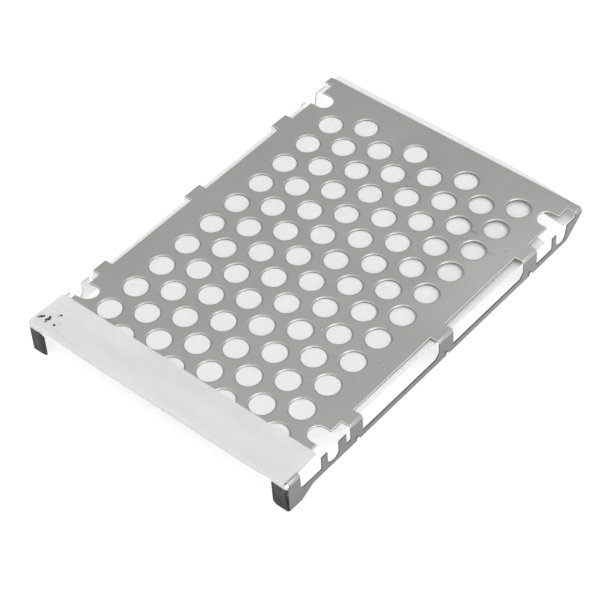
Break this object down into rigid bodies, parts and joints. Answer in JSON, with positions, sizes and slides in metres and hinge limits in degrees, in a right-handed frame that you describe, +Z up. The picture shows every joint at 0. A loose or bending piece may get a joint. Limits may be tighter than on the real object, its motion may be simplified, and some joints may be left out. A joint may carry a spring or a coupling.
{
  "type": "laptop drive caddy",
  "caption": "Folded steel caddy for a 2.5-inch drive: perforated plate, side rails with screw notches and front hooks, and a translucent insulating film folded over its front edge",
  "frame": {"origin": "middle of the caddy's footprint, at the level of its two feet", "axes": "+X to the right-hand wall, +Y rearwards to the end where the drive's connector is, +Z up through the perforated plate, with the drive below it"},
  "size_m": [0.072, 0.1002, 0.0082],
  "materials": {
    "steel": "fine satin, plated sheet steel",
    "film": "translucent, milky, satin"
  },
  "bodies": {
    "root": {"caddy_frame": "steel", "insulator_film": "film"}
  },
  "joints": []
}
